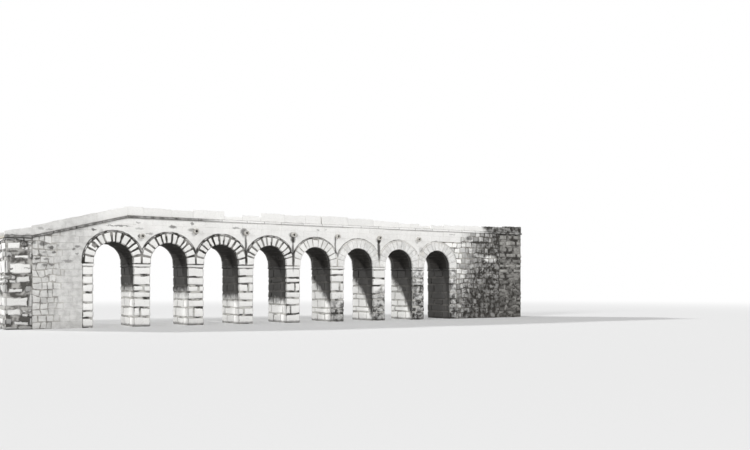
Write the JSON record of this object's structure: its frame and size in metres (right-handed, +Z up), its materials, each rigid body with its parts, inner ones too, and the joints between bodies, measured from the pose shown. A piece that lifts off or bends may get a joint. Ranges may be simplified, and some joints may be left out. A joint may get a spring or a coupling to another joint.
{
  "type": "stone arch bridge, 1:2 scale model",
  "caption": "Half-size masonry road bridge: a row of tall stilted round arches on rectangular piers, dressed arch rings, slab parapets and a ramped end.",
  "frame": {"origin": "on the water line, at the middle of the bridge's length and width", "axes": "+X runs along the bridge from the ramped west end to the level east end, +Y across it to the far face, +Z up"},
  "size_m": [25.21, 2.2, 4.83],
  "materials": {
    "dressed_stone": "tooled pale limestone, weathered",
    "block_stone": "large pale limestone blocks, weathered",
    "walling": "coursed rubble limestone with lime mortar",
    "parapet_stone": "large worn limestone slabs",
    "vault_stone": "coursed vault stone, damp and darkened",
    "fill": "rubble and earth",
    "paving": "worn packed stone"
  },
  "bodies": {
    "root": {"west_end_block": "block_stone", "west_wing": "walling", "west_abutment": "block_stone", "spandrel_west": "walling", "pier_1": "block_stone", "pier_2": "block_stone", "pier_3": "block_stone", "pier_4": "block_stone", "pier_5": "block_stone", "pier_6": "block_stone", "pier_7": "block_stone", "arch_ring_1": "dressed_stone", "arch_ring_2": "dressed_stone", "arch_ring_3": "dressed_stone", "arch_ring_4": "dressed_stone", "arch_ring_5": "dressed_stone", "arch_ring_6": "dressed_stone", "arch_ring_7": "dressed_stone", "arch_ring_8": "dressed_stone", "vault_1": "vault_stone", "vault_2": "vault_stone", "vault_3": "vault_stone", "vault_4": "vault_stone", "vault_5": "vault_stone", "vault_6": "vault_stone", "vault_7": "vault_stone", "vault_8": "vault_stone", "spandrel_1": "walling", "spandrel_2": "walling", "spandrel_3": "walling", "spandrel_4": "walling", "spandrel_5": "walling", "spandrel_6": "walling", "spandrel_7": "walling", "spandrel_east": "walling", "east_abutment": "block_stone", "east_wing": "walling", "east_end_block": "block_stone", "rubble_fill": "fill", "roadway": "paving", "string_course": "dressed_stone", "drain_spouts": "dressed_stone", "parapet_near": "parapet_stone", "parapet_far": "parapet_stone"}
  },
  "joints": []
}
